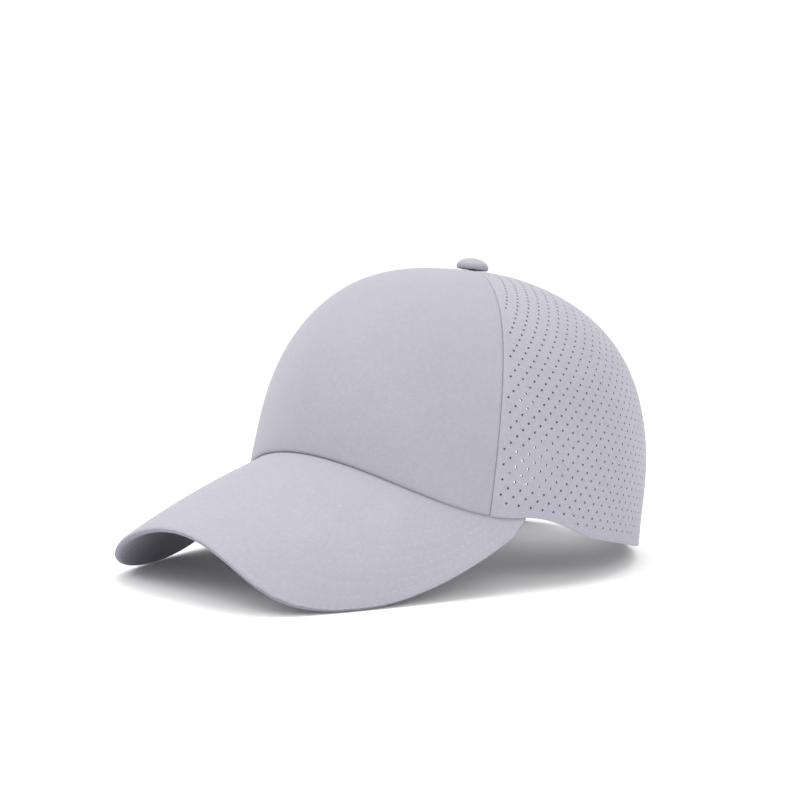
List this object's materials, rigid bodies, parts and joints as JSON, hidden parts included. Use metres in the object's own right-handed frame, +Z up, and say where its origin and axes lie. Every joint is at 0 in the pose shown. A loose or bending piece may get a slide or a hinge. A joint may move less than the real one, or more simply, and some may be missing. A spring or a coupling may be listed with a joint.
{
  "type": "ponytail baseball cap",
  "caption": "Baseball cap with a smooth front, perforated sides, a curved brim and an open back crossed by straps, made to rest on a surface.",
  "frame": {"origin": "centre of the cap's outline on the surface that it rests on", "axes": "+Z up, -Y towards the tip of the brim, +X towards the wearer's left"},
  "size_m": [0.172, 0.2652, 0.1355],
  "materials": {
    "front_cloth": "smooth light grey lilac polyester",
    "perforated_cloth": "the same cloth with rows of small punched holes",
    "brim_cloth": "cloth stretched over a stiff board, with fine rows of stitching",
    "button_cloth": "cloth drawn over a metal button",
    "strap_elastic": "ribbed woven elastic, matt"
  },
  "bodies": {
    "root": {"front_panel": "front_cloth", "side_panel_left": "perforated_cloth", "side_panel_right": "perforated_cloth", "brim": "brim_cloth", "top_button": "button_cloth", "cross_strap_outer": "strap_elastic", "cross_strap_inner": "strap_elastic", "nape_strap": "strap_elastic"}
  },
  "joints": []
}
